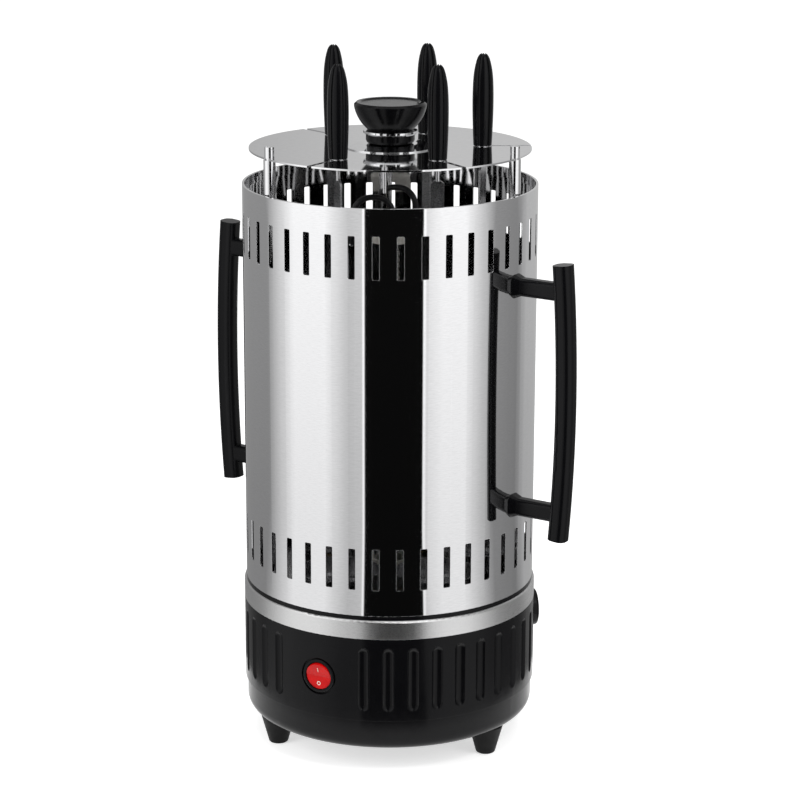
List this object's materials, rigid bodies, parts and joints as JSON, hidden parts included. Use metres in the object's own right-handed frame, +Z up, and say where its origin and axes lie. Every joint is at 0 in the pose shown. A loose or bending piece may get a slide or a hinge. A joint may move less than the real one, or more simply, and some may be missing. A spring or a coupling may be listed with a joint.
{
  "type": "electric skewer grill",
  "caption": "Upright electric skewer grill: fluted round base, slotted steel casing with side handles, turning skewers round a central heating tube, and a top disc with knob.",
  "frame": {"origin": "on the table under the object's axis", "axes": "+Z up along the object's axis; the casing's handles lie along +X and -X; the switch faces -Y"},
  "size_m": [0.291, 0.2042, 0.4778],
  "materials": {
    "black_plastic": "glossy black plastic",
    "rubber_black": "black rubber",
    "polished_steel": "polished stainless steel",
    "steel": "plain steel",
    "zinc_steel": "zinc-plated steel",
    "brass": "sintered bronze",
    "nylon": "natural nylon",
    "ceramic": "unglazed ceramic",
    "quartz": "clear quartz tube",
    "heating_wire": "oxidised resistance wire",
    "sleeving": "black woven sleeving",
    "wire_cover": "heat-proof wire covering",
    "red_plastic": "red translucent rocker"
  },
  "bodies": {
    "base": {"base_housing": "black_plastic", "bottom_cover": "black_plastic", "casing_seat": "black_plastic", "cord_gland": "black_plastic", "deck": "polished_steel", "disc_stud": "steel", "feet": "rubber_black", "foot_screws": "zinc_steel", "gear_plate": "zinc_steel", "heater_cap": "ceramic", "heater_coil": "heating_wire", "heater_core": "ceramic", "heater_leads": "sleeving", "heater_socket": "ceramic", "heater_tube": "quartz", "housing_screws": "zinc_steel", "knob_bolt": "polished_steel", "knob_collar": "black_plastic", "knob_ring": "polished_steel", "lead_tubes": "polished_steel", "machine_screws": "zinc_steel", "motor": "steel", "post_nuts": "polished_steel", "posts": "polished_steel", "spindle_bushes": "brass", "sun_hub": "nylon", "switch_bezel": "black_plastic", "terminal_block": "ceramic", "top_cap": "polished_steel", "top_disc": "polished_steel", "wiring": "wire_cover"},
    "casing": {"casing": "polished_steel", "side_handle_left": "black_plastic", "side_handle_right": "black_plastic", "handle_screws": "zinc_steel"},
    "sun": {"sun_gear": "nylon"},
    "pinion": {"drive_pinion": "steel"},
    "knob": {"knob": "black_plastic"},
    "rocker": {"rocker": "red_plastic"},
    "spindle_1": {"spindle_1": "steel", "drip_cup_1": "steel"},
    "skewer_1": {"skewer_blade_1": "steel", "skewer_handle_1": "black_plastic"},
    "spindle_2": {"spindle_2": "steel", "drip_cup_2": "steel"},
    "skewer_2": {"skewer_blade_2": "steel", "skewer_handle_2": "black_plastic"},
    "spindle_3": {"spindle_3": "steel", "drip_cup_3": "steel"},
    "skewer_3": {"skewer_blade_3": "steel", "skewer_handle_3": "black_plastic"},
    "spindle_4": {"spindle_4": "steel", "drip_cup_4": "steel"},
    "skewer_4": {"skewer_blade_4": "steel", "skewer_handle_4": "black_plastic"},
    "spindle_5": {"spindle_5": "steel", "drip_cup_5": "steel"},
    "skewer_5": {"skewer_blade_5": "steel", "skewer_handle_5": "black_plastic"}
  },
  "joints": [
    {"name": "casing_lift", "type": "slide", "parent": "base", "child": "casing", "axis": [0, 0, 1], "range_m": [0, 0.38]},
    {"name": "sun_spin", "type": "hinge", "parent": "base", "child": "sun", "pos_m": [0, 0, 0.103], "axis": [0, 0, 1], "continuous": true},
    {"name": "pinion_spin", "type": "hinge", "parent": "base", "child": "pinion", "pos_m": [-0.04247, -0.03086, 0.103], "axis": [0, 0, 1], "continuous": true},
    {"name": "spindle_1_spin", "type": "hinge", "parent": "base", "child": "spindle_1", "pos_m": [0, -0.06225, 0.103], "axis": [0, 0, 1], "continuous": true},
    {"name": "spindle_2_spin", "type": "hinge", "parent": "base", "child": "spindle_2", "pos_m": [0.05547, -0.02826, 0.103], "axis": [0, 0, 1], "continuous": true},
    {"name": "spindle_3_spin", "type": "hinge", "parent": "base", "child": "spindle_3", "pos_m": [0.05036, 0.03659, 0.103], "axis": [0, 0, 1], "continuous": true},
    {"name": "spindle_4_spin", "type": "hinge", "parent": "base", "child": "spindle_4", "pos_m": [-0.00974, 0.06148, 0.103], "axis": [0, 0, 1], "continuous": true},
    {"name": "spindle_5_spin", "type": "hinge", "parent": "base", "child": "spindle_5", "pos_m": [-0.0592, 0.01924, 0.103], "axis": [0, 0, 1], "continuous": true},
    {"name": "skewer_1_lift", "type": "slide", "parent": "spindle_1", "child": "skewer_1", "axis": [0, 0, 1], "range_m": [0, 0.3]},
    {"name": "skewer_2_lift", "type": "slide", "parent": "spindle_2", "child": "skewer_2", "axis": [0, 0, 1], "range_m": [0, 0.3]},
    {"name": "skewer_3_lift", "type": "slide", "parent": "spindle_3", "child": "skewer_3", "axis": [0, 0, 1], "range_m": [0, 0.3]},
    {"name": "skewer_4_lift", "type": "slide", "parent": "spindle_4", "child": "skewer_4", "axis": [0, 0, 1], "range_m": [0, 0.3]},
    {"name": "skewer_5_lift", "type": "slide", "parent": "spindle_5", "child": "skewer_5", "axis": [0, 0, 1], "range_m": [0, 0.3]},
    {"name": "rocker_tilt", "type": "hinge", "parent": "base", "child": "rocker", "pos_m": [0.00857, -0.09793, 0.07], "axis": [0.9962, 0.0872, 0], "range_deg": [-16, 0]},
    {"name": "knob_turn", "type": "hinge", "parent": "base", "child": "knob", "pos_m": [0, 0, 0.43], "axis": [0, 0, 1], "continuous": true}
  ],
  "couplings": [
    {"joint": "pinion_spin", "follows": "sun_spin", "ratio": -4},
    {"joint": "spindle_1_spin", "follows": "sun_spin", "ratio": -2.0741},
    {"joint": "spindle_2_spin", "follows": "sun_spin", "ratio": -2.0741},
    {"joint": "spindle_3_spin", "follows": "sun_spin", "ratio": -2.0741},
    {"joint": "spindle_4_spin", "follows": "sun_spin", "ratio": -2.0741},
    {"joint": "spindle_5_spin", "follows": "sun_spin", "ratio": -2.0741}
  ]
}
